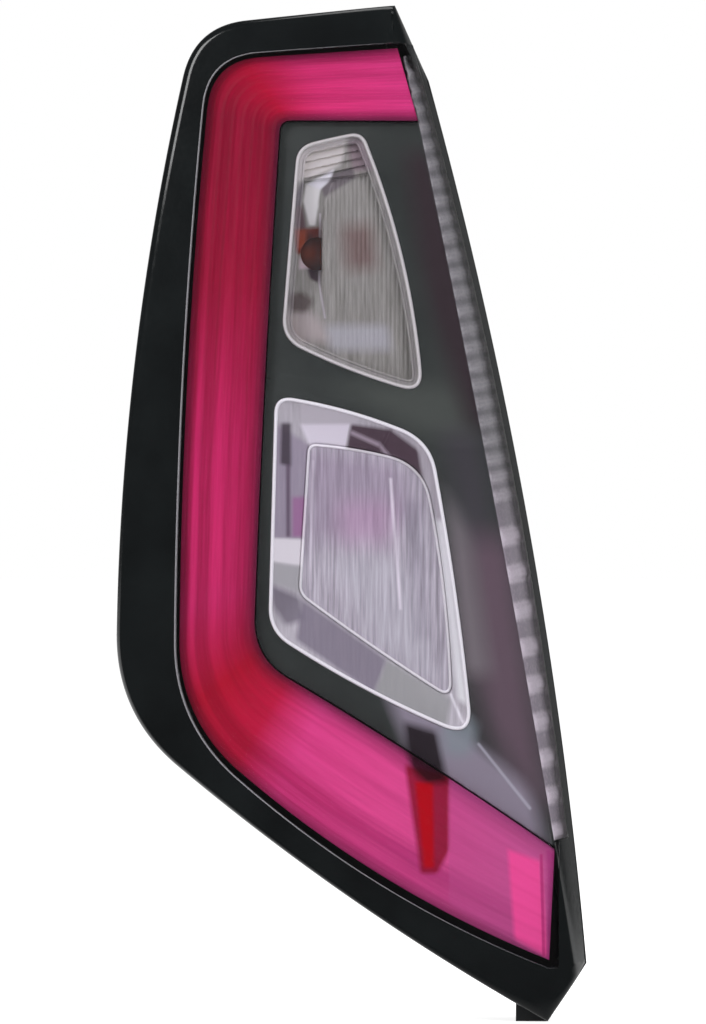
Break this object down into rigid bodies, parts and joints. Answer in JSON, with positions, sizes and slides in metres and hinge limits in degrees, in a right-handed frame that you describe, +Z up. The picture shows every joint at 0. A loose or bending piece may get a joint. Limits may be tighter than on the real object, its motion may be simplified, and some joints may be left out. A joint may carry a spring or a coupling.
{
  "type": "tail light cluster",
  "caption": "Tall tapering tail light cluster for a car's rear pillar: black border, C-shaped red light bar, rimmed clear windows in a dark mask, studs and a bulb carrier behind.",
  "frame": {"origin": "on the axis of the middle stud, where it leaves its boss on the back of the housing", "axes": "upright as on the car: +Z up, +Y forwards into the car along the studs, +X towards the tailgate; the lens faces -Y"},
  "size_m": [0.2551, 0.127, 0.5516],
  "materials": {
    "housing_plastic": "moulded, fine grain",
    "bonding_bead": "cured bonding compound",
    "surround_black": "polished black acrylic",
    "clear_lens": "polished clear acrylic",
    "red_lens": "translucent red acrylic with long ridges",
    "reflector_chrome": "vacuum metallised",
    "mask_plastic": "moulded dark grey, satin",
    "pane_clear": "fluted clear acrylic",
    "carrier_plastic": "glass-filled nylon",
    "rubber_black": "moulded rubber",
    "foam_grey": "closed-cell foam",
    "contact_brass": "stamped brass",
    "zinc_steel": "bright zinc plate",
    "vent_plastic": "moulded",
    "cap_nickel": "nickel-plated brass",
    "amber_glass": "amber-dipped glass",
    "bulb_glass": "clear blown glass",
    "filament_metal": "drawn wire and glass mount"
  },
  "bodies": {
    "root": {"rear_housing": "housing_plastic", "lens_bead": "bonding_bead", "lens_surround": "surround_black", "outer_lens": "clear_lens", "light_bar_lens": "red_lens", "light_bar_reflector": "reflector_chrome", "mask": "mask_plastic", "indicator_reflector": "reflector_chrome", "indicator_pane": "pane_clear", "reverse_reflector": "reflector_chrome", "reverse_pane": "pane_clear", "bulb_carrier": "carrier_plastic", "carrier_gasket": "rubber_black", "body_gasket": "foam_grey", "connector_pins": "contact_brass", "middle_stud": "zinc_steel", "upper_stud": "zinc_steel", "lower_stud": "zinc_steel", "stud_seals": "rubber_black", "vent_cap": "vent_plastic", "reflector_screws": "zinc_steel", "indicator_bulb_cap": "cap_nickel", "indicator_bulb_glass": "amber_glass", "indicator_bulb_filament": "filament_metal", "reverse_bulb_cap": "cap_nickel", "reverse_bulb_glass": "bulb_glass", "reverse_bulb_filament": "filament_metal", "tail_bulb_cap": "cap_nickel", "tail_bulb_glass": "bulb_glass", "stop_bulb_cap": "cap_nickel", "stop_bulb_glass": "bulb_glass", "earth_rail": "contact_brass", "tail_feed": "contact_brass", "reverse_feed": "contact_brass", "indicator_feed": "contact_brass", "stop_feed": "contact_brass"}
  },
  "joints": []
}
